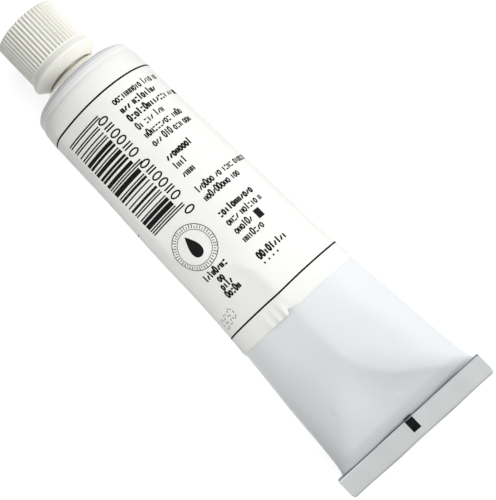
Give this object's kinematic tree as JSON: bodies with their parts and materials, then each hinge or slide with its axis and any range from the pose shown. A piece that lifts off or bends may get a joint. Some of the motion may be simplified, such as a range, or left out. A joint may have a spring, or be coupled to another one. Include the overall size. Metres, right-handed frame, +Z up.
{
  "type": "paint tube",
  "caption": "Collapsible aluminium artist's paint tube with a ribbed screw cap, a paper wrap label and a folded tail, lying on its side.",
  "frame": {"origin": "under the middle of the tube's length and width, on the surface that it lies on", "axes": "+X along the tube towards the cap, +Y across the fold, +Z up, away from the surface that it lies on"},
  "size_m": [0.12, 0.0394, 0.0254],
  "materials": {
    "enamelled_aluminium": "satin white enamel on thin aluminium",
    "label_paper": "smooth uncoated white paper with black print",
    "cap_plastic": "moulded ivory white, faintly satin",
    "liner_wad": "soft white foam wad",
    "latex_sealant": "dried latex",
    "oil_paint": "wet white oil paste",
    "black_ink": "black printing ink"
  },
  "bodies": {
    "tube": {"tube_shell": "enamelled_aluminium", "wrap_label": "label_paper", "tail_sealant": "latex_sealant", "paint_paste": "oil_paint"},
    "cap_seal": {"cap_liner": "liner_wad"},
    "cap": {"screw_cap": "cap_plastic"}
  },
  "joints": [
    {"name": "cap_travel", "type": "slide", "parent": "tube", "child": "cap_seal", "axis": [1, 0, 0], "range_m": [0, 0.0106]},
    {"name": "cap_turn", "type": "hinge", "parent": "cap_seal", "child": "cap", "pos_m": [0.05, 0, 0.01276], "axis": [1, 0, 0], "range_deg": [0, 2520]}
  ],
  "couplings": [
    {"joint": "cap_travel", "follows": "cap_turn", "m_per_rad": 0.00023873}
  ]
}
